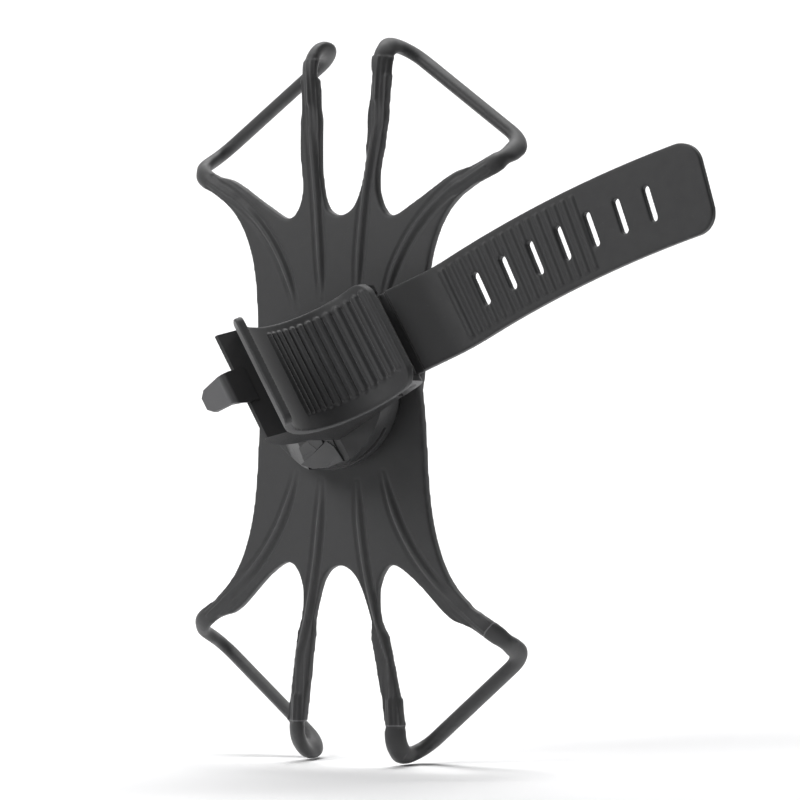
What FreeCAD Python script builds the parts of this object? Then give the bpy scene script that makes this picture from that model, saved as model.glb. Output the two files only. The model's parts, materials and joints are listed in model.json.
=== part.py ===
"""Phone mount for a handlebar: a stretchy eight-arm phone band on a swivel, a ribbed cradle and a strap.

The row frame has its origin on the swivel axis where the phone's back rests. X is to the right as the
mount is seen from the handlebar side, +Y points into the phone and +Z runs up the phone.
Two local frames are used. The holder frame has x and y along X and Z, and z out of the phone's back.
The clamp frame is the same one turned about the swivel axis, so that x runs along the strap, y across
it (along the handlebar) and z out of the phone's back.
"""
import math
import os
import re

import FreeCAD
import Part
from FreeCAD import Placement, Rotation, Vector

SIZES = {
    # the phone that the band is stretched over, and its centre seen from the swivel axis
    "phone_long": 143.6, "phone_wide": 70.9, "phone_thick": 7.7, "phone_off_x": 0.5, "phone_off_z": -2.0,
    # silicone band: web, arms and the oval cords that pass over the phone's edges
    "web_thick": 2.4, "waist_half": 19.0, "waist_tall": 16.0, "waist_flare": 1.3,
    "shoulder_half": 22.6, "shoulder_tall": 31.0, "elbow_half": 27.2, "elbow_top": 38.4, "elbow_low": 40.2,
    "crotch_tall": 36.2, "crotch_off": 11.9, "crotch_round": 2.0, "arm_wide": 4.4, "arm_root": 5.6,
    "cord_thick": 2.7, "cord_wide": 4.2, "bend_round": 5.0, "wrap_drift": 4.5,
    "side_wrap_top": 46.0, "side_wrap_low": 49.6, "end_wrap_top": 8.7, "end_wrap_low": 11.9,
    # hub: the plates that grip the web, and the spigot that the clamp turns on
    "hub_radius": 13.5, "hub_thick": 1.0, "bed_thick": 0.5, "pocket_gap": 0.1,
    "flange_radius": 15.0, "flange_thick": 2.6, "spigot_radius": 7.0, "spigot_tall": 5.4,
    "groove_radius": 5.6, "groove_low": 2.1, "groove_wide": 1.9,
    "hub_screw_ring": 10.0, "screw_radius": 1.0, "head_radius": 1.9, "head_thick": 0.6, "screw_long": 4.0,
    # turntable: two moulded halves round the spigot, with the release slider between them
    "turn_radius": 16.3, "turn_gap": 0.3, "lower_thick": 3.5, "upper_thick": 3.0, "roof_thick": 1.0,
    "swivel_gap": 0.05, "washer_thick": 0.2, "washer_inner": 7.6, "washer_outer": 13.8,
    "wave_inner": 3.2, "wave_outer": 6.0, "wave_thick": 0.25,
    "scoop_start": 9.0, "scoop_slope": 42.0, "scoop_floor": 6.9,
    "case_screw_ring": 12.0, "case_screw_long": 4.1, "case_screw_turn": 33.4,
    # release slider, its thumb tab and its spring
    "slider_half": 8.4, "slider_thick": 1.4, "slider_gap": 0.1, "slider_long_in": 10.4, "slider_edge": 0.5,
    "release_travel": 1.4, "catch_gap": 0.2, "tab_left": 9.4, "tab_right": 1.2, "tab_deep": 5.9,
    "tab_proud": 0.5, "tab_gap": 0.3, "spring_radius": 1.0, "spring_wire": 0.2, "spring_long": 2.6,
    "spring_turns": 4.0, "spring_room": 0.4,
    # clamp: how far it is turned on the swivel, and the cradle that takes the handlebar
    "clamp_turn": 30.5, "cradle_radius": 14.5, "bar_along": 19.0, "bar_out": 31.0,
    "pad_thick": 1.7, "pad_wide": 24.0, "pad_start": 133.5, "pad_sweep": 156.2,
    "pad_hook_corner": 1.5, "pad_strap_corner": 3.8,
    "body_wide": 23.4, "body_left": 0.0, "body_right": 17.6, "shell_radius": 20.6, "shell_low": 22.0,
    "wall_top": 40.6, "wall_lean": 26.4, "lean_along": 3.9, "lean_out": 35.7,
    "body_screw_near": 7.6, "body_screw_far": 12.2, "body_screw_side": 8.3, "body_head_low": 1.9,
    "body_screw_long": 4.1, "body_head_thick": 1.4, "head_gap": 0.2,
    # the hook: a tongue up from the wall that bends outwards into a nose for the strap's slots
    "hook_wide": 7.2, "hook_bend_wide": 6.2, "hook_tip_wide": 5.0, "hook_thick": 1.4, "hook_foot_along": 2.6,
    "hook_foot_out": 38.6, "hook_knee_along": 0.2, "hook_knee_out": 44.9, "hook_tip_along": -5.6,
    "hook_bend": 1.1, "hook_crease": 0.2, "hook_corner": 1.2,
    # strap, its hinge pin and the ears that carry the pin
    "pin_along": 20.5, "pin_out": 11.9, "pin_radius": 0.75, "pin_gap": 0.05, "ear_round": 2.2,
    "ear_thick": 1.6, "ear_gap": 0.3, "bead_radius": 1.8, "bead_room": 0.35,
    "strap_half": 9.3, "strap_thick": 1.8, "strap_above": 0.5, "strap_slope": 31.0, "strap_flat": 5.2,
    "strap_bend": 14.0, "strap_long": 74.0, "strap_straight": 6.0, "strap_turn": 16.0,
    "strap_corner": 4.5, "root_step": 3.8, "root_deep": 0.9,
    "slot_first": 20.2, "slot_pitch": 6.85, "slot_count": 7, "slot_long": 7.4, "slot_wide": 1.5,
}

UP = Vector(0, 0, 1)
ACROSS = Vector(0, 1, 0)
AHEAD = Vector(1, 0, 0)

doc = FreeCAD.newDocument("PhoneMount")
sheet = doc.addObject("Spreadsheet::Sheet", "Sizes")
for row, (alias, value) in enumerate(SIZES.items(), start=1):
    sheet.set("A%d" % row, alias)
    sheet.set("B%d" % row, str(value))
    sheet.setAlias("B%d" % row, alias)
doc.recompute()

nodes = {}


def size(alias):
    """The value of a driving dimension, read back from the sheet."""
    return float(sheet.get(alias))


def formula(text):
    """An expression in which every driving dimension is looked up in the sheet."""
    return re.sub(r"[a-z_]{3,}", lambda word: "Sizes." + word[0] if word[0] in SIZES else word[0], text)


HOLDER = Placement(Vector(), Rotation(AHEAD, 90))
CLAMP = Placement(Vector(), Rotation(ACROSS, -size("clamp_turn")).multiply(Rotation(AHEAD, 90)))


def bind(item, place, **sizes):
    """Tie an item's sizes and its place to the sheet."""
    for name, text in sizes.items():
        item.setExpression(name, formula(text))
    for axis, text in zip("xyz", place):
        item.setExpression("Placement.Base." + axis, formula(text))
    return item


def cylinder(name, radius, height, place=("0", "0", "0")):
    """A cylinder that stands along the local z axis."""
    item = doc.addObject("Part::Cylinder", name)
    return bind(item, place, Radius=radius, Height=height)


def bar(name, radius, length, along, out):
    """A cylinder that lies along the local y axis, centred across the clamp."""
    item = doc.addObject("Part::Cylinder", name)
    item.Placement = Placement(Vector(), Rotation(AHEAD, 90))
    return bind(item, (along, "( %s ) / 2" % length, out), Radius=radius, Height=length)


def box(name, length, width, height, place, tilt=None):
    """A box from its lowest corner, tilted about the local y axis when tilt is given, in degrees."""
    item = doc.addObject("Part::Box", name)
    if tilt is not None:
        item.Placement = Placement(Vector(), Rotation(ACROSS, -tilt))
    return bind(item, place, Length=length, Width=width, Height=height)


def fused(name, *parts):
    item = doc.addObject("Part::MultiFuse", name)
    item.Shapes = list(parts)
    item.Refine = True
    return item


def cut(name, base, *tools):
    item = doc.addObject("Part::Cut", name)
    item.Base = base
    item.Tool = tools[0] if len(tools) == 1 else fused(name + "_tools", *tools)
    item.Refine = True
    return item


def common(name, first, second):
    item = doc.addObject("Part::Common", name)
    item.Base = first
    item.Tool = second
    return item


def group(name, *parts):
    item = doc.addObject("Part::Compound", name)
    item.Links = list(parts)
    return item


def node(label, item, frame):
    """Name a finished sub-part and set it in its frame."""
    item.Label = label
    item.Placement = frame
    nodes[label] = item
    return item


# ---------------------------------------------------------------- levels along the swivel axis
WEB_TOP = "web_thick"
FLANGE_TOP = "( web_thick + flange_thick )"
TURN_LOW = "( web_thick + flange_thick + turn_gap )"
TURN_MID = "( web_thick + flange_thick + turn_gap + lower_thick )"
TURN_TOP = "( web_thick + flange_thick + turn_gap + lower_thick + upper_thick )"
SPIGOT_TOP = "( web_thick + flange_thick + spigot_tall )"


def ring_places(count, radius, first=0.0):
    """Points evenly spaced on a circle, as expression pairs."""
    for index in range(count):
        turn = first + index * 360.0 / count
        yield "%s * cos(%g deg)" % (radius, turn), "%s * sin(%g deg)" % (radius, turn)


# ---------------------------------------------------------------- silicone band
def spline(points):
    curve = Part.BSplineCurve()
    curve.interpolate([Vector(x, y, 0) for x, y in points])
    return curve.toShape()


def line_between(first, last):
    return Part.LineSegment(Vector(*first), Vector(*last)).toShape()


def elbow_tall(end):
    """How far from the swivel axis the side arms turn outwards, at the top or the low end."""
    return size("elbow_top") if end > 0 else size("elbow_low")


def outer_arm_low_edge(side, end, wrap):
    """From the waist out along the lower edge of the arm that goes to the phone's long side."""
    return [
        (side * size("waist_half"), 0.0),
        (side * (size("waist_half") + size("waist_flare")), end * size("waist_tall")),
        (side * size("shoulder_half"), end * size("shoulder_tall")),
        (side * size("elbow_half"), end * elbow_tall(end)),
        arm_point(side, end, wrap, -0.5),
    ]


def arm_point(side, end, wrap, across):
    """A point at the tip of a side arm, across its width from -0.5 (low edge) to 0.5."""
    edge = side * size("phone_wide") / 2 + size("phone_off_x")
    start = Vector(side * size("elbow_half"), end * (elbow_tall(end) + size("arm_wide") * 0.6))
    finish = Vector(edge, end * wrap)
    run = (finish - start).normalize()
    middle = finish - run * size("bend_round")
    normal = Vector(-run.y, run.x) * (side * end)
    return tuple((middle + normal * (size("arm_wide") * across)))[:2]


def end_arm_tip(side, end, wrap, across):
    """A point at the tip of an end arm, across its width from -0.5 (middle side) to 0.5."""
    tall = end * size("phone_long") / 2 + size("phone_off_z") - end * size("bend_round")
    return side * (wrap + across * size("arm_wide")), tall


def crotch_edge(side, end, side_wrap, end_wrap):
    """From the side arm's tip into the crotch between both arms and out to the end arm's tip."""
    low = size("crotch_tall")
    off = size("crotch_off")
    bend = size("crotch_round")
    tip = arm_point(side, end, side_wrap, 0.5)
    last = end_arm_tip(side, end, end_wrap, 0.5)
    return [
        tip,
        (side * (off + (abs(tip[0]) - off) * 0.5), end * (low + (abs(tip[1]) - low) * 0.47)),
        (side * (off + 2.0 * bend), end * (low + 0.55 * bend)),
        (side * off, end * (low - 0.15 * bend)),
        (side * (off - bend), end * (low + bend)),
        (side * (off - 1.15 * bend), end * (low + 6.0 * bend)),
        (side * (abs(last[0]) * 0.5 + (off - 1.15 * bend) * 0.5 - 0.1), end * (abs(last[1]) - 11.0)),
        last,
    ]


def middle_edge(end, wrap_right, wrap_left):
    """Between the two end arms, from the right one's tip round the middle crotch to the left one's."""
    low = size("crotch_tall")
    root = size("crotch_off") - 1.15 * size("crotch_round") - size("arm_root")
    points = []
    for side, wrap in ((1, wrap_right), (-1, wrap_left)):
        tip = end_arm_tip(side, end, wrap, -0.5)
        rise = abs(tip[1]) - low
        half = [
            tip,
            (side * (abs(tip[0]) * 0.72 + root * 0.28), end * (low + 0.52 * rise)),
            (side * (abs(tip[0]) * 0.28 + root * 0.72), end * (low + 0.19 * rise)),
            (side * root * 0.62, end * (low + 0.9)),
        ]
        points.append(half)
    return points[0] + [(0.0, end * low)] + points[1][::-1]


def rounded_route(corners, radius):
    """Straight runs joined by tangent arcs, as one wire."""
    edges = []
    start = corners[0]
    for before, corner, after in zip(corners, corners[1:], corners[2:]):
        back = (before - corner).normalize()
        ahead = (after - corner).normalize()
        half = back.getAngle(ahead) / 2
        reach = radius / math.tan(half)
        middle = corner + (back + ahead).normalize() * (radius / math.sin(half) - radius)
        first = corner + back * reach
        last = corner + ahead * reach
        edges.append(Part.LineSegment(start, first).toShape())
        edges.append(Part.Arc(first, middle, last).toShape())
        start = last
    edges.append(Part.LineSegment(start, corners[-1]).toShape())
    return Part.Wire(edges)


def corner_cord(side, end, side_wrap, end_wrap):
    """The oval cord from a side arm over the phone's edge, across its front corner and back."""
    radius = size("cord_thick") / 2
    half_wide = size("cord_wide") / 2
    edge = side * (size("phone_wide") / 2 + radius) + size("phone_off_x")
    top = end * (size("phone_long") / 2 + radius) + size("phone_off_z")
    front = -size("phone_thick") - radius
    root = Vector(*arm_point(side, end, side_wrap, 0.0))
    turn = Vector(edge, end * side_wrap)
    start = turn + (root - turn).normalize() * (2.4 * size("bend_round"))
    corners = [
        Vector(start.x, start.y, radius),
        Vector(edge, end * side_wrap, radius),
        Vector(edge, end * (side_wrap + size("wrap_drift")), front),
        Vector(side * end_wrap, top, front),
        Vector(side * end_wrap, top, radius),
        Vector(side * end_wrap, top - end * 2.4 * size("bend_round"), radius),
    ]
    route = rounded_route(corners, size("bend_round"))
    heading = (corners[1] - corners[0]).normalize()
    wide_end = corners[0] + heading.cross(UP).normalize() * half_wide
    section = Part.Wire(Part.Ellipse(wide_end, corners[0] + UP * radius, corners[0]).toShape())
    tube = route.makePipeShell([section], True, False)
    even = math.pi * radius * half_wide * route.Length
    print("cord volume over section times length:", round(tube.Volume / even, 4))
    return tube


def phone_band():
    """One silicone moulding: the web, eight arms and the four corner cords."""
    wraps = {
        1: (size("side_wrap_top"), size("end_wrap_top")),
        -1: (size("side_wrap_low"), size("end_wrap_low")),
    }
    off = size("phone_off_x")
    edges = []
    cords = []
    for end in (1, -1):
        side_wrap, end_wrap = wraps[end]
        reach = {1: end_wrap + 2 * off, -1: end_wrap - 2 * off}
        for side in (1, -1):
            edges.append(spline(outer_arm_low_edge(side, end, side_wrap)))
            edges.append(spline(crotch_edge(side, end, side_wrap, reach[side])))
            for tip, wrap in ((arm_point, side_wrap), (end_arm_tip, reach[side])):
                edges.append(line_between(*(tip(side, end, wrap, across) for across in (-0.5, 0.5))))
            cords.append(corner_cord(side, end, side_wrap, reach[side]))
        edges.append(spline(middle_edge(end, reach[1], reach[-1])))
    outline = Part.Wire(Part.__sortEdges__(edges))
    web = Part.Face(outline).extrude(UP * size("web_thick"))
    pocket = Part.makeCylinder(size("hub_radius") + size("pocket_gap"), size("bed_thick") + size("hub_thick"))
    holes = [pocket]
    for index in range(4):
        place = Rotation(UP, 45 + 90 * index).multVec(AHEAD * size("hub_screw_ring"))
        holes.append(Part.makeCylinder(size("screw_radius"), size("web_thick"), place))
    shape = web.fuse(cords).cut(holes)
    item = doc.addObject("Part::Feature", "PhoneBand")
    item.Shape = shape.removeSplitter()
    return item


node("phone_band", phone_band(), HOLDER)


# ---------------------------------------------------------------- hub
def hub():
    """The pad and plate behind the web, the flanged spigot in front of it and the four screws."""
    pad = cylinder("BedPad", "hub_radius", "bed_thick")
    node("bed_pad", group("BedPadGroup", pad), HOLDER)

    plate = cylinder("HubPlate", "hub_radius", "hub_thick", ("0", "0", "bed_thick"))
    flange = cylinder("Flange", "flange_radius", "flange_thick", ("0", "0", WEB_TOP))
    spigot = cylinder("Spigot", "spigot_radius", "spigot_tall", ("0", "0", FLANGE_TOP))
    seats, holes, threads, screws = [], [], [], []
    for index, (x, y) in enumerate(ring_places(4, "hub_screw_ring", 45)):
        name = "HubScrew%d" % index
        seat = ("head_radius + head_gap", "head_thick", (x, y, "bed_thick"))
        shank = ("screw_radius", "screw_long - head_thick", (x, y, "bed_thick + head_thick"))
        seats.append(cylinder(name + "Seat", *seat))
        holes.append(cylinder(name + "Hole", *shank))
        threads.append(cylinder(name + "Thread", *shank))
        head = cylinder(name + "Head", "head_radius", "head_thick", (x, y, "bed_thick"))
        screws.append(fused(name, head, cylinder(name + "Shank", *shank)))
    node("hub_plate", cut("HubPlateCut", plate, *seats, *holes), HOLDER)
    node("hub_screws", group("HubScrews", *screws), HOLDER)

    groove_place = ("0", "0", FLANGE_TOP + " + groove_low")
    groove = cut(
        "Groove",
        cylinder("GrooveOuter", "spigot_radius + 1", "groove_wide", groove_place),
        cylinder("GrooveInner", "groove_radius", "groove_wide", groove_place),
    )
    node("hub_spigot", cut("HubSpigotCut", fused("HubSpigot", flange, spigot), groove, *threads), HOLDER)


hub()


# ---------------------------------------------------------------- turntable
def turntable():
    """Two moulded halves that turn on the spigot, their washers and their screws."""
    bore = "spigot_radius + swivel_gap"
    reach = "( slider_long_in + release_travel + tab_gap )"
    slot_tall = "( slider_thick + 2 * slider_gap )"

    def scoop(name):
        span = "( 2 * turn_radius )"
        place = ("-1 * scoop_start - %s * cos(scoop_slope * 1 deg)" % span, "-1 * turn_radius",
                 TURN_TOP + " - %s * sin(scoop_slope * 1 deg)" % span)
        slope = box(name + "Slope", span, span, "turn_radius", place, tilt=size("scoop_slope"))
        above = box(name + "Above", span, span, "turn_radius",
                    ("-1 * " + span, "-1 * turn_radius", "scoop_floor"))
        return common(name, slope, above)

    lower = cylinder("LowerDisc", "turn_radius", "lower_thick", ("0", "0", TURN_LOW))
    channel = box("Channel", "2 * ( slider_half + slider_gap )", "24 + " + reach, slot_tall,
                  ("-1 * slider_half - slider_gap", "-24", TURN_MID + " - " + slot_tall))
    spring_bay = box("SpringBay", "2 * ( spring_radius + spring_wire + tab_gap )",
                     "spring_long + spring_room", "2 * ( spring_radius + spring_wire )",
                     ("-1 * ( spring_radius + spring_wire + tab_gap )", reach,
                      TURN_MID + " - 2 * ( spring_radius + spring_wire )"))
    lower_bore = cylinder("LowerBore", bore, "lower_thick + 2", ("0", "0", TURN_LOW + " - 1"))
    lower_notch = tab_notch("LowerNotch", "slider_thick + 2 * slider_gap", TURN_MID + " - " + slot_tall)

    upper = cylinder("UpperDisc", "turn_radius", "upper_thick", ("0", "0", TURN_MID))
    upper_bore = cylinder("UpperBore", bore, "upper_thick - roof_thick", ("0", "0", TURN_MID))
    upper_notch = tab_notch("UpperNotch", "upper_thick", TURN_MID)

    case_low, case_high, screws = [], [], []
    for index, turn in enumerate((0, 180 - size("case_screw_turn"), 180 + size("case_screw_turn"))):
        x = "case_screw_ring * cos(%g deg)" % turn
        y = "case_screw_ring * sin(%g deg)" % turn
        name = "CaseScrew%d" % index
        place = (x, y, TURN_LOW)
        case_low.append(cylinder(name + "Seat", "head_radius", "head_thick", place))
        for bucket, label in ((case_low, "Low"), (case_high, "High")):
            bucket.append(cylinder(name + label, "screw_radius", "case_screw_long", place))
        head = cylinder(name + "Head", "head_radius", "head_thick", place)
        screws.append(fused(name, head, cylinder(name + "Shank", "screw_radius", "case_screw_long", place)))
    node("turntable_screws", group("CaseScrews", *screws), CLAMP)

    lower_rooms = [channel, spring_bay, lower_bore, lower_notch, scoop("LowerScoop")]
    lower_cut = cut("LowerCut", lower, *lower_rooms, *case_low)
    node("turntable_lower", lower_cut, CLAMP)
    hole_level = TURN_TOP + " + body_head_low - body_screw_long"
    body_holes = [cylinder("UpperBodyHole%d" % index, "screw_radius", "body_screw_long", place)
                  for index, place in enumerate(body_screw_places(hole_level))]
    upper_cut = cut("UpperCut", upper, upper_bore, upper_notch, scoop("UpperScoop"), *case_high, *body_holes)
    node("turntable_upper", upper_cut, CLAMP)

    thrust_place = ("0", "0", FLANGE_TOP + " + ( turn_gap - washer_thick ) / 2")
    thrust = cut("ThrustWasher", cylinder("ThrustOuter", "washer_outer", "washer_thick", thrust_place),
                 cylinder("ThrustInner", "washer_inner", "washer_thick", thrust_place))
    node("thrust_washer", thrust, CLAMP)
    wave_place = ("0", "0", SPIGOT_TOP + " + 0.1")
    wave = cut("WaveWasher", cylinder("WaveOuter", "wave_outer", "wave_thick", wave_place),
               cylinder("WaveInner", "wave_inner", "wave_thick", wave_place))
    node("wave_washer", wave, CLAMP)


def tab_notch(name, height, level):
    """Room for the thumb tab in the turntable's rim, over its whole travel."""
    return box(name, "tab_left - tab_right + 2 * tab_gap", "tab_deep + release_travel + tab_gap + 4", height,
               ("-1 * tab_left - tab_gap", "-1 * turn_radius - 4", level))


def body_screw_places(level):
    for along in ("body_screw_near", "body_screw_far"):
        for side in ("", "-1 * "):
            yield along, side + "body_screw_side", level


turntable()


# ---------------------------------------------------------------- release slider
def release():
    """A plate whose offset hole catches in the spigot's groove, with a thumb tab, and its spring."""
    low = TURN_MID + " - slider_gap - slider_thick"
    catch = "( spigot_radius + catch_gap )"
    plate = box("SliderPlate", "2 * slider_half", "turn_radius + slider_long_in", "slider_thick",
                ("-1 * slider_half", "-1 * turn_radius", low))
    tab_place = ("-1 * tab_left", "-1 * turn_radius", low)
    tab_tall = "slider_gap + slider_thick + upper_thick + tab_proud"
    tab = box("SliderTab", "tab_left - tab_right", "tab_deep", tab_tall, tab_place)
    hole = cylinder("SliderHole", catch, "slider_thick + 2", ("0", "-1 * release_travel", low + " - 1"))
    trim = cylinder("SliderTrim", "turn_radius - slider_edge", "12", ("0", "0", low + " - 1"))
    slider = common("SliderShape", cut("SliderCut", fused("SliderBlank", plate, tab), hole), trim)
    node("release_slider", slider, CLAMP)

    turns = size("spring_turns")
    wire = size("spring_wire")
    length = size("spring_long") - 2 * wire
    helix = Part.makeHelix(length / turns, length, size("spring_radius"))
    section = Part.Wire(Part.Circle(Vector(size("spring_radius"), 0, 0), ACROSS, wire).toShape())
    coil = Part.Wire(helix).makePipeShell([section], True, True)
    spring = doc.addObject("Part::Feature", "ReleaseSpring")
    spring.Shape = coil
    start = size("slider_long_in") + size("release_travel") + size("tab_gap") + size("spring_room") / 2 + wire
    level = (size("web_thick") + size("flange_thick") + size("turn_gap") + size("lower_thick")
             - size("spring_radius") - wire)
    node("release_spring", spring, CLAMP.multiply(Placement(Vector(0, start, level), Rotation(AHEAD, -90))))


release()


# ---------------------------------------------------------------- clamp body and cradle pad
def clamp_body():
    """The saddle on the turntable, its hook wall with the strap's tongue, and the two pin ears."""
    seat_radius = "( cradle_radius + pad_thick )"
    side = "-1 * body_wide / 2"
    foot = box("BodyFoot", "body_right - body_left", "body_wide", "bar_out - " + TURN_TOP,
               ("body_left", side, TURN_TOP))
    round_back = bar("RoundBack", "shell_radius", "body_wide", "bar_along", "bar_out")
    back_room = box("BackRoom", "shell_radius", "body_wide", "wall_top - shell_low",
                    ("bar_along - 1.2 * shell_radius", side, "shell_low"))
    shell = common("Shell", round_back, back_room)
    half = "( strap_half + ear_gap )"
    ears = []
    for index, start in enumerate((half, "-1 * %s - ear_thick" % half)):
        name = "Ear%d" % index
        place = ("pin_along", start + " + ear_thick", "pin_out")
        boss = doc.addObject("Part::Cylinder", name)
        boss.Placement = Placement(Vector(), Rotation(AHEAD, 90))
        ears.append(bind(boss, place, Radius="ear_round", Height="ear_thick"))
        ears.append(box(name + "Web", "pin_along + ear_round - body_right + 1", "ear_thick",
                        "bar_out - cradle_radius - pin_out", ("body_right - 1", start, "pin_out")))
        ears.append(box(name + "Foot", "pin_along - body_right + 1", "ear_thick", "ear_round",
                        ("body_right - 1", start, "pin_out - ear_round")))
    seat = bar("Seat", seat_radius, "body_wide + 2", "bar_along", "bar_out")
    pin_hole = bar("PinHole", "pin_radius", "body_wide + 4", "pin_along", "pin_out")
    bead_room = bar("BeadRoom", "bead_radius + bead_room", "2 * " + half, "pin_along", "pin_out")
    exit_room = box("ExitRoom", "12", "2 * " + half, "bar_out - pin_out",
                    ("pin_along", "-1 * " + half, "pin_out"))
    bores = []
    for index, place in enumerate(body_screw_places(TURN_TOP + " + body_head_low")):
        bores.append(cylinder("BodySeat%d" % index, "head_radius + head_gap", "bar_out - pin_out", place))
    for index, place in enumerate(body_screw_places(TURN_TOP)):
        bores.append(cylinder("BodyHole%d" % index, "screw_radius", "body_head_low", place))
    lean = box("Lean", "shell_radius", "body_wide + 2", "shell_radius",
               ("lean_along + 3 * sin(wall_lean * 1 deg)", side + " - 1",
                "lean_out - 3 * cos(wall_lean * 1 deg)"), tilt=size("wall_lean"))
    walls = cut("Walls", fused("WallsBlank", foot, shell), lean)
    solid = fused("BodyBlank", walls, *ears, tongue())
    shaped = cut("BodyCut", solid, seat, pin_hole, bead_room, exit_room, *bores)
    node("clamp_body", shaped, CLAMP)

    screws = []
    for index, place in enumerate(body_screw_places(TURN_TOP + " + body_head_low")):
        name = "BodyScrew%d" % index
        head = cylinder(name + "Head", "head_radius", "body_head_thick", place)
        x, y, level = place
        shank_place = (x, y, level + " - body_screw_long")
        shank = cylinder(name + "Shank", "screw_radius", "body_screw_long", shank_place)
        screws.append(fused(name, head, shank))
    node("body_screws", group("BodyScrews", *screws), CLAMP)


def tongue():
    """The strap's hook: a tapered tongue that rises from the wall and bends outwards at its knee."""
    thick = size("hook_thick")
    foot = Vector(size("hook_foot_along"), 0, size("hook_foot_out"))
    knee = Vector(size("hook_knee_along"), 0, size("hook_knee_out"))
    tip = Vector(size("hook_tip_along"), 0, size("hook_knee_out"))
    rise = (knee - foot).normalize()
    half_turn = rise.getAngle(tip - knee) / 2
    inset = Vector(-math.tan(half_turn), 0, -1) * thick
    under = Vector(-rise.z, 0, rise.x) * thick
    above = rounded_route([foot, knee, tip], size("hook_bend"))
    below = rounded_route([foot + under, knee + inset, tip - UP * thick], size("hook_crease"))
    ends = [line_between(foot, foot + under), line_between(tip, tip - UP * thick)]
    profile = Part.Face(Part.Wire(Part.__sortEdges__(above.Edges + below.Edges + ends)))
    span = size("hook_wide")
    bent = profile.extrude(ACROSS * span)
    bent.translate(ACROSS * (-span / 2))
    corner = size("hook_corner")
    plan = []
    for sign in (1, -1):
        plan.append([Vector(foot.x + thick, sign * span / 2, 0), Vector(foot.x - thick, sign * span / 2, 0),
                     Vector(knee.x, sign * size("hook_bend_wide") / 2, 0),
                     Vector(tip.x + corner, sign * size("hook_tip_wide") / 2, 0),
                     Vector(tip.x, sign * (size("hook_tip_wide") / 2 - corner), 0)])
    outline = Part.makePolygon(plan[0] + plan[1][::-1] + plan[0][:1])
    item = doc.addObject("Part::Feature", "Tongue")
    item.Shape = bent.common(Part.Face(outline).extrude(UP * (2 * knee.z)))
    return item


clamp_body()


def cradle_pad():
    """The silicone lining of the cradle, a part-turn shell with rounded corners."""
    shells = []
    start = Rotation(AHEAD, 90).multiply(Rotation(UP, size("pad_start")))
    for name, radius in (("PadOuter", "cradle_radius + pad_thick"), ("PadInner", "cradle_radius")):
        shell = doc.addObject("Part::Cylinder", name)
        shell.Placement = Placement(Vector(), start)
        place = ("bar_along", "pad_wide / 2", "bar_out")
        bind(shell, place, Radius=radius, Height="pad_wide", Angle="pad_sweep")
        shells.append(shell)
    blank = cut("PadBlank", *shells)
    doc.recompute()
    thick = size("pad_thick")
    rounds = []
    for index, edge in enumerate(blank.Shape.Edges, start=1):
        if edge.Curve.TypeId == "Part::GeomLine" and abs(edge.Length - thick) < 0.01:
            near_hook = edge.CenterOfMass.x < size("bar_along")
            corner = size("pad_hook_corner") if near_hook else size("pad_strap_corner")
            rounds.append((index, corner, corner))
    pad = doc.addObject("Part::Fillet", "Pad")
    pad.Base = blank
    pad.Edges = rounds
    node("cradle_pad", pad, CLAMP)


cradle_pad()


# ---------------------------------------------------------------- strap and its pin
def strap_outline():
    """The strap's centre line in plan: straight at the root, then a gentle turn edgeways.

    Returns a function from the distance along the strap to a point and a heading."""
    straight = size("strap_straight")
    rate = math.radians(size("strap_turn")) / size("strap_long")

    def at(run):
        turn = max(0.0, run - straight) * rate
        if turn < 1e-9:
            return Vector(size("pin_along") + run, 0, 0), Vector(1, 0, 0)
        radius = 1.0 / rate
        x = size("pin_along") + straight + radius * math.sin(turn)
        y = -radius * (1 - math.cos(turn))
        return Vector(x, y, 0), Vector(math.cos(turn), -math.sin(turn), 0)

    return at


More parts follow.
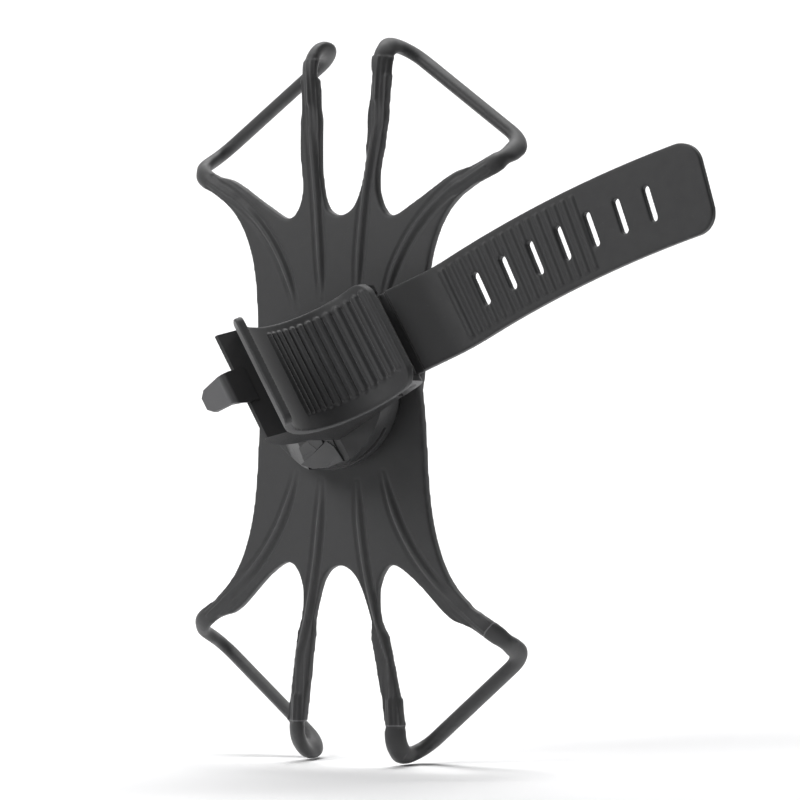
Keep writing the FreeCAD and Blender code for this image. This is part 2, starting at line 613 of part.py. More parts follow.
def strap():
    """A perforated silicone strap with a bead at its root that turns on the pin."""
    at = strap_outline()
    half = size("strap_half")
    long = size("strap_long")
    corner = size("strap_corner")

    def side_point(run, across):
        point, heading = at(run)
        return point + Vector(-heading.y, heading.x, 0) * across

    def side_edge(across):
        arc = Part.Arc(side_point(size("strap_straight"), across), side_point(long / 2, across),
                       side_point(long - corner, across)).toShape()
        runs = (-size("bead_radius"), size("strap_straight"))
        root = line_between(*(side_point(run, across) for run in runs))
        return [root, arc]

    cut_back = corner * (1 - math.sqrt(0.5))
    ends = []
    for sign in (1, -1):
        middle = side_point(long - cut_back, sign * (half - cut_back))
        ends.append(Part.Arc(side_point(long - corner, sign * half), middle,
                             side_point(long, sign * (half - corner))).toShape())
    tip = line_between(side_point(long, half - corner), side_point(long, corner - half))
    tail = line_between(*(side_point(-size("bead_radius"), sign * half) for sign in (1, -1)))
    edges = side_edge(half) + side_edge(-half) + ends + [tip, tail]
    plan = Part.Face(Part.Wire(Part.__sortEdges__(edges))).extrude(UP * long)

    slope = math.radians(size("strap_slope"))
    top_root = Vector(size("pin_along"), 0, size("pin_out") + size("strap_above") / math.cos(slope))
    knee = Vector(top_root.x + (top_root.z - size("strap_flat")) / math.tan(slope), 0, size("strap_flat"))
    far = Vector(size("pin_along") + 1.2 * long, 0, size("strap_flat"))
    top = rounded_route([top_root, knee, far], size("strap_bend"))
    down = Vector(-math.sin(slope), 0, -math.cos(slope)) * size("strap_thick")
    low_root = top_root + down
    low_knee = knee + Vector(-math.tan(slope / 2), 0, -1) * size("strap_thick")
    low_far = far - UP * size("strap_thick")
    low = rounded_route([low_root, low_knee, low_far], size("strap_bend") + size("strap_thick"))
    sides = [line_between(top_root, low_root), line_between(far, low_far)]
    profile = Part.Face(Part.Wire(Part.__sortEdges__(top.Edges + low.Edges + sides)))
    band = profile.extrude(ACROSS * long)
    band.translate(ACROSS * (-long / 2))
    step = Part.makeBox(size("root_step") + long / 4, 2 * half, size("bead_radius") * 2)
    step.Placement = Placement(
        top_root - ACROSS * half + down * (size("root_deep") / size("strap_thick")),
        Rotation(ACROSS, math.degrees(slope)))
    step.translate(Vector(-math.cos(slope), 0, math.sin(slope)) * (long / 4))

    bead_place = Vector(size("pin_along"), -half, size("pin_out"))
    bead = Part.makeCylinder(size("bead_radius"), 2 * half, bead_place, ACROSS)
    bore = Part.makeCylinder(size("pin_radius") + size("pin_gap"), 2 * half, bead_place, ACROSS)
    slots = []
    for index in range(int(size("slot_count"))):
        run = size("slot_first") + index * size("slot_pitch")
        point, heading = at(run)
        slots.append(slot(point, heading))
    shape = band.common(plan).cut(step).fuse(bead).cut([bore] + slots)
    item = doc.addObject("Part::Feature", "Strap")
    item.Shape = shape.removeSplitter()
    node("strap", item, CLAMP)


def slot(point, heading):
    """A round-ended slot across the strap."""
    across = Vector(-heading.y, heading.x, 0)
    wide = size("slot_wide")
    reach = across * ((size("slot_long") - wide) / 2)
    side = heading * (wide / 2)
    far, near = point + reach, point - reach
    edges = [
        Part.LineSegment(near + side, far + side).toShape(),
        Part.Arc(far + side, far + across * (wide / 2), far - side).toShape(),
        Part.LineSegment(far - side, near - side).toShape(),
        Part.Arc(near - side, near - across * (wide / 2), near + side).toShape(),
    ]
    return Part.Face(Part.Wire(edges)).extrude(UP * size("strap_long"))


strap()

pin = bar("StrapPin", "pin_radius", "2 * ( strap_half + ear_gap + ear_thick )", "pin_along", "pin_out")
node("strap_pin", group("StrapPinGroup", pin), CLAMP)


# ---------------------------------------------------------------- checks and export
doc.recompute()
for item in doc.Objects:
    if "Invalid" in item.State or "Error" in item.State:
        raise RuntimeError("%s failed to rebuild" % item.Name)
os.makedirs("parts", exist_ok=True)
for label, item in nodes.items():
    if item.Shape.isNull() or not item.Shape.isValid():
        raise RuntimeError("%s has no valid shape" % label)
    item.Shape.exportStep("parts/%s.step" % label)
    span = item.Shape.BoundBox
    print("%-18s solids %2d  volume %9.1f  box %s to %s" % (
        label, len(item.Shape.Solids), item.Shape.Volume,
        [round(v, 1) for v in (span.XMin, span.YMin, span.ZMin)],
        [round(v, 1) for v in (span.XMax, span.YMax, span.ZMax)]))
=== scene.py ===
"""Visible model of a handlebar phone mount, built round its packed frame.

The silicone pieces start from their frame solids, are remeshed finely and then shaped by moving
vertices: raised ribs and grooves on the phone band, bars on the cradle lining, ribs on the strap.
The plastic pieces are copies of their frame solids with eased edges, and the release slider's thumb
tab gets its facets here. Metal and hidden pieces keep their frame solids and only get a finish.
"""

import json
import math
from collections import namedtuple

import bmesh
import bpy
import numpy as np
from bpy.props import FloatProperty, FloatVectorProperty, IntProperty, PointerProperty
from mathutils import Matrix, Vector


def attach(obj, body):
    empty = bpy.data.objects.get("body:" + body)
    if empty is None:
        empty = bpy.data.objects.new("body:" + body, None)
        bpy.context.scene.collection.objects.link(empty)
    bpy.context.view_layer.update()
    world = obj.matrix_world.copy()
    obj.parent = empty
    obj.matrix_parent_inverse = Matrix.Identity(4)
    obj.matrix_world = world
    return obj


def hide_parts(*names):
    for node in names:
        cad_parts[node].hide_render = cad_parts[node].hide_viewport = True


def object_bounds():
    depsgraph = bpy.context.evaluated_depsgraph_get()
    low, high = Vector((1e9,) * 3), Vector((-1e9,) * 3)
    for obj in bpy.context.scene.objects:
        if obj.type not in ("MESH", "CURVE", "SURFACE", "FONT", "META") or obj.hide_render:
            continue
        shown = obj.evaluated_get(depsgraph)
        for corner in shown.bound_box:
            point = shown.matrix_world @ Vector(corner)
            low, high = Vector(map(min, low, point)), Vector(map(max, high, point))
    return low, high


bl_info = {
    "name": "Handlebar phone mount",
    "version": (1, 0, 0),
    "blender": (4, 5, 0),
    "location": "3D View > Sidebar > Phone Mount",
    "description": "Builds the visible pieces of a silicone handlebar phone mount",
    "category": "Object",
}

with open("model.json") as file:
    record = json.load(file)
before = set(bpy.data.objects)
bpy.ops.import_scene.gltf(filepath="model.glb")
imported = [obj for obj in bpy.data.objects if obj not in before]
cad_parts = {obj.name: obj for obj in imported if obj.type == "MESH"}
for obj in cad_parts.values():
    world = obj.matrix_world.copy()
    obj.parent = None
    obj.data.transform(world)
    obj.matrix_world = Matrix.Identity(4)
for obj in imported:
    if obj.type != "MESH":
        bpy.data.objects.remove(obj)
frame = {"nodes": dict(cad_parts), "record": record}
cad_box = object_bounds()

MM = 0.001


# ---------------------------------------------------------------- places read from the frame
def mount(name):
    """A mount of the frame's record."""
    return next(item for item in frame["record"]["mounts"] if item["name"] == name)


def joint(name):
    """A joint of the frame's record."""
    return next(item for item in frame["record"]["behaviour"]["joints"] if item["name"] == name)


OUT = Vector((0, -1, 0))
BAR_AXIS = Vector(mount("handlebar_cradle")["axis"]).normalized()
ALONG = BAR_AXIS.cross(OUT).normalized() * -1
CLAMP_AXES = np.array([ALONG, -BAR_AXIS, OUT])
BAR_CENTRE = Vector(mount("handlebar_cradle")["pos_m"])
CRADLE_RADIUS = mount("handlebar_cradle")["dims"]["r_mm"] * MM
PIN_CENTRE = Vector(joint("strap_swing")["pos_m"])


def clamp_coords(points):
    """Columns along the strap, across it (up the bar) and out of the phone's back, in metres."""
    return points @ CLAMP_AXES.T


def from_clamp(points):
    """Points in the frame's axes, from columns in the clamp's."""
    return points @ CLAMP_AXES


# ---------------------------------------------------------------- mesh helpers
WELD = 0.001 * MM
FLAT_ANGLE = math.radians(0.5)
SHARP_ANGLE = math.radians(34)


def new_object(name, mesh):
    """A mesh as an object of the scene."""
    piece = bpy.data.objects.new(name, mesh)
    bpy.context.scene.collection.objects.link(piece)
    return piece


def copy_of(node, name):
    """A welded copy of a frame solid's mesh, as a new object."""
    mesh = frame["nodes"][node].data.copy()
    mesh.materials.clear()
    bm = bmesh.new()
    bm.from_mesh(mesh)
    bmesh.ops.remove_doubles(bm, verts=bm.verts, dist=WELD)
    bm.to_mesh(mesh)
    bm.free()
    return new_object(name, mesh)


def apply_modifiers(piece):
    """Bakes the piece's modifiers into its mesh."""
    graph = bpy.context.evaluated_depsgraph_get()
    mesh = bpy.data.meshes.new_from_object(piece.evaluated_get(graph))
    piece.modifiers.clear()
    piece.data = mesh
    mesh.name = piece.name
    return mesh


def soft_copy(node, name, voxel, rounds, factor=0.5):
    """A frame solid remeshed into an even skin with softened edges."""
    piece = copy_of(node, name)
    remesh = piece.modifiers.new("Remesh", "REMESH")
    remesh.mode = "VOXEL"
    remesh.voxel_size = voxel
    mesh = apply_modifiers(piece)
    smooth(mesh, rounds, factor)
    mesh.polygons.foreach_set("use_smooth", [True] * len(mesh.polygons))
    return piece


def smooth(mesh, rounds, factor=0.5):
    """Relaxes every vertex towards its neighbours, a number of times."""
    bm = bmesh.new()
    bm.from_mesh(mesh)
    for _ in range(rounds):
        bmesh.ops.smooth_vert(bm, verts=bm.verts, factor=factor,
                              use_axis_x=True, use_axis_y=True, use_axis_z=True)
    bm.to_mesh(mesh)
    bm.free()


def crisp_copy(node, name, ease, segments=3):
    """A frame solid with its sharp edges eased."""
    piece = copy_of(node, name)
    mesh = piece.data
    bm = bmesh.new()
    bm.from_mesh(mesh)
    bmesh.ops.dissolve_limit(bm, angle_limit=FLAT_ANGLE, use_dissolve_boundaries=False,
                             verts=bm.verts, edges=bm.edges)
    bm.to_mesh(mesh)
    bm.free()
    bevel = piece.modifiers.new("Ease", "BEVEL")
    bevel.width = ease
    bevel.segments = segments
    bevel.limit_method = "ANGLE"
    bevel.angle_limit = SHARP_ANGLE
    bevel.use_clamp_overlap = True
    weighted = piece.modifiers.new("Normals", "WEIGHTED_NORMAL")
    weighted.keep_sharp = True
    mesh.polygons.foreach_set("use_smooth", [True] * len(mesh.polygons))
    apply_modifiers(piece)
    return piece


def points_of(mesh):
    """A mesh's vertices, one row each."""
    flat = np.empty(len(mesh.vertices) * 3)
    mesh.vertices.foreach_get("co", flat)
    return flat.reshape(-1, 3)


def normals_of(mesh):
    """A mesh's vertex normals, one row each."""
    flat = np.empty(len(mesh.vertices) * 3)
    mesh.vertices.foreach_get("normal", flat)
    return flat.reshape(-1, 3)


def set_points(mesh, points):
    """Moves a mesh's vertices."""
    mesh.vertices.foreach_set("co", points.ravel())
    mesh.update()


def ramp(value, low, high):
    """0 below low, 1 above high and a smooth step between them."""
    share = np.clip((value - low) / (high - low), 0.0, 1.0)
    return share * share * (3 - 2 * share)


def hump(value, half):
    """1 at 0, falling smoothly to 0 at half on either side."""
    return 1 - ramp(np.abs(value), 0.0, half)


def bezier(points, count):
    """Points along a curve with one control point between its ends."""
    share = np.linspace(0, 1, count)[:, None]
    first, control, last = (np.array(point, dtype=float) for point in points)
    return (1 - share) ** 2 * first + 2 * share * (1 - share) * control + share ** 2 * last


def nearest_on(line, points):
    """Signed distance from each point to a polyline in a plane, and how far along it lies."""
    best = np.full(len(points), np.inf)
    side = np.zeros(len(points))
    along = np.zeros(len(points))
    steps = np.linalg.norm(np.diff(line, axis=0), axis=1)
    starts = np.concatenate([[0], np.cumsum(steps)])
    for index, step in enumerate(steps):
        run = (line[index + 1] - line[index]) / step
        offset = points - line[index]
        share = np.clip(offset @ run, 0, step)
        gap = offset - share[:, None] * run
        distance = np.hypot(gap[:, 0], gap[:, 1])
        closer = distance < best
        best = np.where(closer, distance, best)
        turn = run[0] * gap[:, 1] - run[1] * gap[:, 0]
        side = np.where(closer, np.sign(turn), side)
        along = np.where(closer, starts[index] + share, along)
    return best * np.where(side == 0, 1, side), along, starts[-1]


# ---------------------------------------------------------------- materials
# Texture scales, in waves per metre
MOTTLE, GRAIN, SPECK, WIPE = 140, 5200, 2600, 420
SPARK, CLOUD, HATCH = 3800, 260, 620
TURNING, TARNISH = 2400, 300

# How far the textures stand out
GRAIN_HIGH, MOTTLE_HIGH = 0.03 * MM, 0.12 * MM
SPARK_HIGH, CLOUD_HIGH, HATCH_HIGH = 0.04 * MM, 0.1 * MM, 0.12 * MM
TURNING_HIGH = 0.02 * MM


class Nodes:
    """A short way to wire a material's nodes."""

    def __init__(self, name):
        self.material = bpy.data.materials.new(name)
        self.material.use_nodes = True
        self.tree = self.material.node_tree
        self.tree.nodes.clear()
        self.output = self.tree.nodes.new("ShaderNodeOutputMaterial")
        self.shader = self.tree.nodes.new("ShaderNodeBsdfPrincipled")
        self.tree.links.new(self.shader.outputs[0], self.output.inputs[0])
        self.coords = self.tree.nodes.new("ShaderNodeTexCoord").outputs["Object"]

    def link(self, source, target):
        self.tree.links.new(source, target)

    def add(self, kind, **values):
        item = self.tree.nodes.new(kind)
        for key, value in values.items():
            setattr(item, key, value)
        return item

    def noise(self, scale, detail=3.0, roughness=0.5, vector=None):
        item = self.add("ShaderNodeTexNoise")
        item.inputs["Scale"].default_value = scale
        item.inputs["Detail"].default_value = detail
        item.inputs["Roughness"].default_value = roughness
        self.link(vector or self.coords, item.inputs["Vector"])
        return item.outputs["Fac"]

    def mapped(self, value, low, high, to_low, to_high):
        item = self.add("ShaderNodeMapRange")
        for key, amount in (("From Min", low), ("From Max", high), ("To Min", to_low), ("To Max", to_high)):
            item.inputs[key].default_value = amount
        self.link(value, item.inputs["Value"])
        return item.outputs["Result"]

    def maths(self, operation, first, second):
        item = self.add("ShaderNodeMath", operation=operation)
        for socket, value in zip(item.inputs, (first, second)):
            if isinstance(value, bpy.types.NodeSocket):
                self.link(value, socket)
            else:
                socket.default_value = value
        return item.outputs[0]

    def blend(self, share, first, second):
        item = self.add("ShaderNodeMix", data_type="RGBA")
        self.link(share, item.inputs["Factor"])
        for socket, value in ((item.inputs[6], first), (item.inputs[7], second)):
            if isinstance(value, bpy.types.NodeSocket):
                self.link(value, socket)
            else:
                socket.default_value = (*value[:3], 1.0)
        return item.outputs[2]

    def bump(self, heights):
        """Chains bump nodes; heights lists (height socket, distance, strength)."""
        normal = None
        for height, distance, strength in heights:
            item = self.add("ShaderNodeBump")
            item.inputs["Distance"].default_value = distance
            item.inputs["Strength"].default_value = strength
            self.link(height, item.inputs["Height"])
            if normal is not None:
                self.link(normal, item.inputs["Normal"])
            normal = item.outputs[0]
        self.link(normal, self.shader.inputs["Normal"])


def shade(colour, factor):
    """A colour made lighter or darker."""
    return tuple(min(1.0, channel * factor) for channel in colour[:3])


def silicone(name, colour, rough, sheen=0.25, dust=0.5, highlight_lines=()):
    """Matte silicone rubber: faint mottling, a fine moulded grain, a little dust and optional painted highlight
    lines.

    Each painted highlight line is (a plane's direction, its distance from the origin, the line's width)."""
    m = Nodes(name)
    mottle = m.noise(MOTTLE, 4)
    grain = m.noise(GRAIN, 2)
    speck = m.mapped(m.noise(SPECK, 1), 0.70, 0.80, 0.0, dust)
    base = m.blend(mottle, shade(colour, 0.90), shade(colour, 1.12))
    fine = m.blend(m.mapped(grain, 0.35, 0.65, 0.0, 1.0), shade(colour, 0.94), shade(colour, 1.06))
    both = m.blend(m.mapped(mottle, 0.3, 0.7, 0.35, 0.65), base, fine)
    tint = m.blend(speck, both, shade(colour, 1.9))
    depth = m.add("ShaderNodeSeparateXYZ")
    m.link(m.coords, depth.inputs[0])
    behind = m.mapped(depth.outputs["Y"], 0.0, 1.0 * MM, 1.0, 0.0)
    # Painted highlight: a thin line on the outer face tinted four times lighter, standing in for light catching
    # an edge.
    for direction, distance, wide in highlight_lines:
        dot = m.add("ShaderNodeVectorMath", operation="DOT_PRODUCT")
        m.link(m.coords, dot.inputs[0])
        dot.inputs[1].default_value = direction
        gap = m.maths("ABSOLUTE", m.maths("SUBTRACT", dot.outputs["Value"], distance), 0.0)
        line = m.maths("MULTIPLY", m.mapped(gap, wide * 0.3, wide * 0.6, 0.9, 0.0), behind)
        tint = m.blend(line, tint, shade(colour, 4.0))
    m.link(tint, m.shader.inputs["Base Color"])
    m.link(m.mapped(m.noise(WIPE, 3), 0.3, 0.7, rough - 0.05, rough + 0.06), m.shader.inputs["Roughness"])
    m.shader.inputs["Sheen Weight"].default_value = sheen
    m.shader.inputs["Sheen Roughness"].default_value = 0.5
    m.shader.inputs["Specular IOR Level"].default_value = 0.42
    m.bump([(grain, GRAIN_HIGH, 0.35), (mottle, MOTTLE_HIGH, 0.12)])
    return m.material


def moulded(name, colour, rough, painted_light_depths=None):
    """Moulded plastic with a fine sparked texture, a little rubbed.

    An optional pair of distances out of the phone's back, between which a painted highlight sets in: a much
    lighter tint for the lit nose of the hook."""
    m = Nodes(name)
    spark = m.noise(SPARK, 3, 0.6)
    cloud = m.noise(CLOUD, 4)
    rubbed = m.mapped(cloud, 0.52, 0.72, 0.0, 0.5)
    tint = m.blend(rubbed, shade(colour, 0.94), shade(colour, 1.22))
    # Painted highlight: past the given depths the tint turns 3.2 times lighter, standing in for the light on
    # the hook's nose.
    if painted_light_depths:
        depth = m.add("ShaderNodeSeparateXYZ")
        m.link(m.coords, depth.inputs[0])
        near, far = painted_light_depths
        tint = m.blend(m.mapped(depth.outputs["Y"], -near, -far, 0.0, 1.0), tint, shade(colour, 3.2))
    m.link(tint, m.shader.inputs["Base Color"])
    m.link(m.mapped(spark, 0.3, 0.7, rough - 0.07, rough + 0.08), m.shader.inputs["Roughness"])
    m.shader.inputs["Specular IOR Level"].default_value = 0.5
    m.bump([(spark, SPARK_HIGH, 0.45), (cloud, CLOUD_HIGH, 0.08)])
    return m.material


def hatched(name, colour, rough):
    """Moulded plastic with a fine hatched grip, with painted shade in its grooves and painted highlight on its
    ridges.
    """
    m = Nodes(name)
    waves = m.add("ShaderNodeTexWave", wave_type="BANDS", bands_direction="DIAGONAL")
    waves.inputs["Scale"].default_value = HATCH
    m.link(m.coords, waves.inputs["Vector"])
    lines = waves.outputs["Fac"]
    spark = m.noise(SPARK, 3, 0.6)
    # Painted shade and highlight: the tint follows the hatch's relief, darker in the grooves and lighter on the
    # ridges.
    m.link(m.blend(lines, shade(colour, 0.75), shade(colour, 1.15)), m.shader.inputs["Base Color"])
    m.link(m.mapped(spark, 0.3, 0.7, rough - 0.07, rough + 0.08), m.shader.inputs["Roughness"])
    m.bump([(lines, HATCH_HIGH, 0.8), (spark, SPARK_HIGH, 0.4)])
    return m.material


def metal(name, colour, rough):
    """Plated steel with fine turning marks."""
    m = Nodes(name)
    marks = m.noise(TURNING, 2)
    m.link(m.blend(m.noise(TARNISH, 3), shade(colour, 0.85), shade(colour, 1.1)), m.shader.inputs["Base Color"])
    m.link(m.mapped(marks, 0.3, 0.7, rough - 0.08, rough + 0.1), m.shader.inputs["Roughness"])
    m.shader.inputs["Metallic"].default_value = 1.0
    m.bump([(marks, TURNING_HIGH, 0.3)])
    return m.material


def finish_with(piece, material):
    """Gives the whole piece one material."""
    if piece.data.materials:
        for index in range(len(piece.data.materials)):
            piece.data.materials[index] = material
    else:
        piece.data.materials.append(material)


def place(piece, body, nodes):
    """Attaches the piece to the body it rides on and hides the frame solids it stands for."""
    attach(piece, body)
    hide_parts(*nodes)
    return piece


# ---------------------------------------------------------------- settings
def length(name, description, default):
    """A length setting, in metres."""
    return FloatProperty(name=name, description=description, default=default, unit="LENGTH", precision=5)


def colour(name, description, default):
    """A colour setting."""
    return FloatVectorProperty(name=name, description=description, default=default, subtype="COLOR",
                               size=3, min=0.0, max=1.0)


class BandSettings(bpy.types.PropertyGroup):
    """Sizes and colour of the phone band."""
    grid: length("Grid", "Spacing of the band's even mesh", 0.34 * MM)
    rib_width: length("Rib width", "Width of the raised rib along each arm", 1.3 * MM)
    rib_height: length("Rib height", "How far each rib stands above its grooves", 0.45 * MM)
    groove_width: length("Groove width", "Width of the groove on each side of a rib", 0.9 * MM)
    groove_depth: length("Groove depth", "Depth of the grooves", 0.38 * MM)
    ridge_pitch: length("Ridge pitch", "Spacing of the fine ridges near an arm's tip", 0.95 * MM)
    ridge_height: length("Ridge height", "Height of the fine ridges", 0.14 * MM)
    tip_half: length("Tip half width", "Half the width of an arm at its tip", 1.95 * MM)
    # Width of the painted highlight line where the lower arms' ribs end.
    highlight_wide: length("Highlight line width", "Width of the light line where the lower arms' ribs end", 0.3 * MM)
    tint: colour("Colour", "Silicone colour", (0.030, 0.030, 0.031))


class PadSettings(bpy.types.PropertyGroup):
    """Sizes and colour of the ribbed cradle lining."""
    grid: length("Grid", "Spacing of the lining's even mesh", 0.25 * MM)
    bars: IntProperty(name="Bars", description="Number of grip bars", default=13, min=2)
    bar_length: length("Bar length", "Length of each grip bar", 19.0 * MM)
    bar_share: FloatProperty(name="Bar share", description="Share of the pitch that a bar fills", default=0.76)
    bar_rise: length("Bar rise", "How far each bar stands out of the lining", 0.45 * MM)
    groove_depth: length("Groove depth", "How far the grooves between bars sink below the lining", 0.3 * MM)
    first_bar: FloatProperty(name="First bar", description="Direction of the bar nearest the strap",
                             default=math.radians(282), unit="ROTATION")
    pitch: FloatProperty(name="Pitch", description="Turn from one bar to the next near the strap",
                         default=math.radians(8.9), unit="ROTATION")
    squeeze: FloatProperty(name="Squeeze", description="How much closer the bars get towards the hook",
                           default=math.radians(0.232), unit="ROTATION")
    shift: length("Shift", "How far the bars sit up the bar from the lining's middle", 0.9 * MM)
    tint: colour("Colour", "Silicone colour", (0.027, 0.027, 0.028))


class StrapSettings(bpy.types.PropertyGroup):
    """Sizes and colour of the strap."""
    grid: length("Grid", "Spacing of the strap's even mesh", 0.23 * MM)
    straight: length("Straight root", "Length before the strap turns edgeways", 6.0 * MM)
    length: length("Length", "Length from the pin to the tip", 74.0 * MM)
    turn: FloatProperty(name="Turn", description="How far the strap turns edgeways", default=math.radians(16),
                        unit="ROTATION")
    ribs: IntProperty(name="Ribs", description="Number of cross ribs", default=16, min=2)
    first_rib: length("First rib", "Distance of the first rib from the pin", 13.9 * MM)
    last_rib: length("Last rib", "Distance of the last rib from the pin", 45.7 * MM)
    rib_length: length("Rib length", "Length of each cross rib", 16.2 * MM)
    rib_height: length("Rib height", "Height of each cross rib", 0.32 * MM)
    tint: colour("Colour", "Silicone colour", (0.025, 0.025, 0.026))


class PlasticSettings(bpy.types.PropertyGroup):
    """Finishes of the moulded and metal pieces."""
    ease: length("Eased edges", "Radius of the eased edges", 0.3 * MM)
    # Where the painted highlight on the hook's nose starts, out of the phone's back.
    painted_nose_from: length("Painted nose highlight", "Distance out of the phone's back where the hook's painted nose highlight starts",
                      43.2 * MM)
    saddle_tint: colour("Saddle", "Colour of the saddle and hook", (0.034, 0.034, 0.035))
    disc_tint: colour("Turntable", "Colour of the turntable", (0.042, 0.042, 0.043))
    tab_tint: colour("Release tab", "Colour of the thumb tab", (0.058, 0.058, 0.059))
    hub_tint: colour("Hub", "Colour of the hub plates", (0.020, 0.020, 0.021))
    plated_tint: colour("Plated steel", "Colour of the screws", (0.55, 0.55, 0.57))
    black_tint: colour("Blackened steel", "Colour of the strap's pin", (0.05, 0.05, 0.052))
    spring_tint: colour("Spring steel", "Colour of the spring and wave washer", (0.42, 0.42, 0.44))
    nylon_tint: colour("Nylon", "Colour of the thrust washer", (0.80, 0.78, 0.72))
    foam_tint: colour("Foam", "Colour of the bed pad", (0.03, 0.03, 0.031))


class StageSettings(bpy.types.PropertyGroup):
    """Camera and light."""
    target: FloatVectorProperty(name="Target", description="Point that the camera looks at",
                                default=(13.24 * MM, 0, -2.0 * MM), subtype="TRANSLATION", unit="LENGTH")
    azimuth: FloatProperty(name="Azimuth", description="Camera's turn from straight behind the phone",
                           default=math.radians(30.83), unit="ROTATION")
    distance: length("Distance", "Camera's distance from its target", 0.7353)
    lens: FloatProperty(name="Lens", description="Focal length in millimetres", default=161.4)
    key_power: FloatProperty(name="Key light", description="Power of the key light in watts", default=5.6)
    fill_power: FloatProperty(name="Fill light", description="Power of the fill light in watts", default=0.1)
    back_power: FloatProperty(name="Backdrop light", description="Power of the backdrop's light in watts",
                              default=22.0)
    room: FloatProperty(name="Room light", description="Strength of the even light of the room", default=0.04)
    beyond: FloatProperty(name="Beyond", description="Brightness seen beyond the backdrop", default=0.95)
    half_floor: length("Half floor", "Half the floor's width", 1.6)
    rise: length("Rise", "Height of the backdrop", 2.2)
    sweep: length("Sweep", "Radius of the curve between floor and backdrop", 0.7)
    floor_gap: length("Floor gap", "Room between the floor and the lowest point", 0.2 * MM)
    backdrop: colour("Backdrop", "Floor and backdrop colour", (0.93, 0.93, 0.935))


# ---------------------------------------------------------------- stage
class MOUNT_OT_stage(bpy.types.Operator):
    """Add the camera, the pale floor and backdrop, and soft studio light"""
    bl_idname = "phone_mount.stage"
    bl_label = "Stage"

    def execute(self, context):
        settings = context.scene.mount_stage
        low = cad_box[0]
        target = Vector(settings.target)
        turn = settings.azimuth
        away = Vector((math.sin(turn), -math.cos(turn), 0))
        camera = bpy.data.objects.new("camera", bpy.data.cameras.new("camera"))
        camera.data.lens = settings.lens
        camera.data.sensor_width = 36.0
        camera.data.clip_start = 0.01
        camera.location = target + away * settings.distance
        camera.rotation_euler = away.to_track_quat("Z", "Y").to_euler()
        context.scene.collection.objects.link(camera)
        context.scene.camera = camera

        bm = bmesh.new()
        bmesh.ops.create_grid(bm, x_segments=1, y_segments=1, size=settings.half_floor)
        back = [edge for edge in bm.edges if all(vert.co.y > 0 for vert in edge.verts)]
        rise = bmesh.ops.extrude_edge_only(bm, edges=back)["geom"]
        verts = [item for item in rise if isinstance(item, bmesh.types.BMVert)]
        bmesh.ops.translate(bm, verts=verts, vec=(0, 0, settings.rise))
        bmesh.ops.bevel(bm, geom=back, affect="EDGES", offset=settings.sweep, segments=16, profile=0.5,
                        material=-1)
        bmesh.ops.rotate(bm, verts=bm.verts, matrix=Matrix.Rotation(turn, 3, "Z"))
        bmesh.ops.translate(bm, verts=bm.verts, vec=(0, 0, low[2] - settings.floor_gap))
        mesh = bpy.data.meshes.new("floor")
        bm.to_mesh(mesh)
        bm.free()
        mesh.polygons.foreach_set("use_smooth", [True] * len(mesh.polygons))
        floor = new_object("floor", mesh)
        m = Nodes("paper")
        tint = settings.backdrop
        m.link(m.blend(m.noise(3, 2), shade(tint, 0.985), tint), m.shader.inputs["Base Color"])
        m.shader.inputs["Roughness"].default_value = 0.9
        finish_with(floor, m.material)

        # Each light's place and aim are in metres along the camera's own directions, then its size and power
        right = Vector((math.cos(turn), math.sin(turn), 0))
        up = Vector((0, 0, 1))
        for name, where, aim, size, power in (
            ("key", away * 0.42 - right * 0.60 + up * 0.50, target, 0.45, settings.key_power),
            ("fill", away * 0.8 + right * 0.55 + up * 0.2, target, 0.8, settings.fill_power),
            ("backdrop", -away * 0.45 + up * 1.1, -away * 1.25, 0.9, settings.back_power),
        ):
            light = bpy.data.objects.new(name, bpy.data.lights.new(name, "AREA"))
            light.data.size = size
            light.data.energy = power
            light.location = where
            light.rotation_euler = (where - aim).to_track_quat("Z", "Y").to_euler()
            context.scene.collection.objects.link(light)
        world = bpy.data.worlds.new("studio")
        world.use_nodes = True
        links, nodes = world.node_tree.links, world.node_tree.nodes
        seen = nodes.new("ShaderNodeLightPath").outputs["Is Camera Ray"]
        strength = nodes.new("ShaderNodeMapRange")
        strength.inputs["To Min"].default_value = settings.room
        strength.inputs["To Max"].default_value = settings.beyond
        links.new(seen, strength.inputs["Value"])
        links.new(strength.outputs["Result"], nodes["Background"].inputs["Strength"])
        nodes["Background"].inputs["Color"].default_value = (1, 1, 1, 1)
        context.scene.world = world
        context.scene.view_settings.view_transform = "Standard"
        return {"FINISHED"}


# ---------------------------------------------------------------- phone band
Arm = namedtuple("Arm", "rib tip seam cord_half step")

# Places in holder millimetres: how far sideways from the middle, and how far up or down
PHONE_EDGE, PHONE_SHIFT = 35.45, 0.5
SIDE_RIB = ((10.6, 17.0), (14.6, 34.5), 30.0)
SIDE_ROOT = 27.2
SIDE_ARMS = ((1, 46.0, 40.9), (-1, 49.6, 42.8))
RIGHT_SEAM, LEFT_SEAM, SIDE_CORD = 1.5, 3.0, 2.0
END_RIB = ((4.3, 19.0), (5.2, 40.0), 56.0)
END_ROOT = 54.0
UPPER_END = (1, 8.7, 69.8, 1.2, 1.7, 0.1)
LOWER_END = (-1, 11.9, 73.8, 5.2, 1.95, 0.05)


